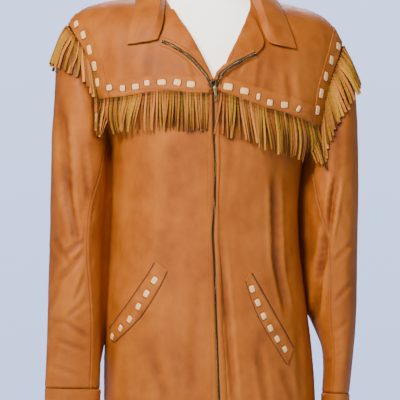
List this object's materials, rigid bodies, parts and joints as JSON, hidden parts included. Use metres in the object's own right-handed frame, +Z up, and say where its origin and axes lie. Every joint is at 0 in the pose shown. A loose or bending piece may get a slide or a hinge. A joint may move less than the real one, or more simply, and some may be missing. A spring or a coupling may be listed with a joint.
{
  "type": "fringed deerskin jacket on a limbless dress form",
  "caption": "Fringed western deerskin jacket with zip front, laced yoke bands and slanted pockets, worn open at the neck by a limbless dress form.",
  "frame": {"origin": "middle of the dress form's flat base, on the floor it stands on", "axes": "+Z up, -Y to the jacket's front, +X to the viewer's right of the front"},
  "size_m": [0.5737, 0.2971, 0.908],
  "materials": {
    "deerskin": "smooth matt deerskin, soft sheen",
    "fringe": "suede flesh side",
    "zip": "antique brass, dulled",
    "form_cover": "smooth jersey cover"
  },
  "bodies": {
    "jacket": {"back": "deerskin", "yoke_back": "deerskin", "front_left": "deerskin", "front_right": "deerskin", "yoke_front_left": "deerskin", "yoke_front_right": "deerskin", "sleeve_top_left": "deerskin", "sleeve_under_left": "deerskin", "sleeve_top_right": "deerskin", "sleeve_under_right": "deerskin", "cuff_left": "deerskin", "cuff_right": "deerskin", "collar": "deerskin", "facing_left": "deerskin", "facing_right": "deerskin", "band_front_left": "deerskin", "band_front_right": "deerskin", "band_armhole_left": "deerskin", "band_armhole_right": "deerskin", "band_back": "deerskin", "pocket_welt_left": "deerskin", "pocket_welt_right": "deerskin", "fringe_front_left": "fringe", "fringe_front_right": "fringe", "fringe_armhole_left": "fringe", "fringe_armhole_right": "fringe", "fringe_back": "fringe", "zip_chain": "zip", "zip_half_left": "zip", "zip_half_right": "zip", "zip_slider": "zip", "dress_form": "form_cover"},
    "pull_tab": {"zip_pull": "zip"}
  },
  "joints": [
    {"name": "pull_swing", "type": "hinge", "parent": "jacket", "child": "pull_tab", "pos_m": [0, -0.15626, 0.65148], "axis": [-1, 0, 0], "range_deg": [0, 150]}
  ]
}
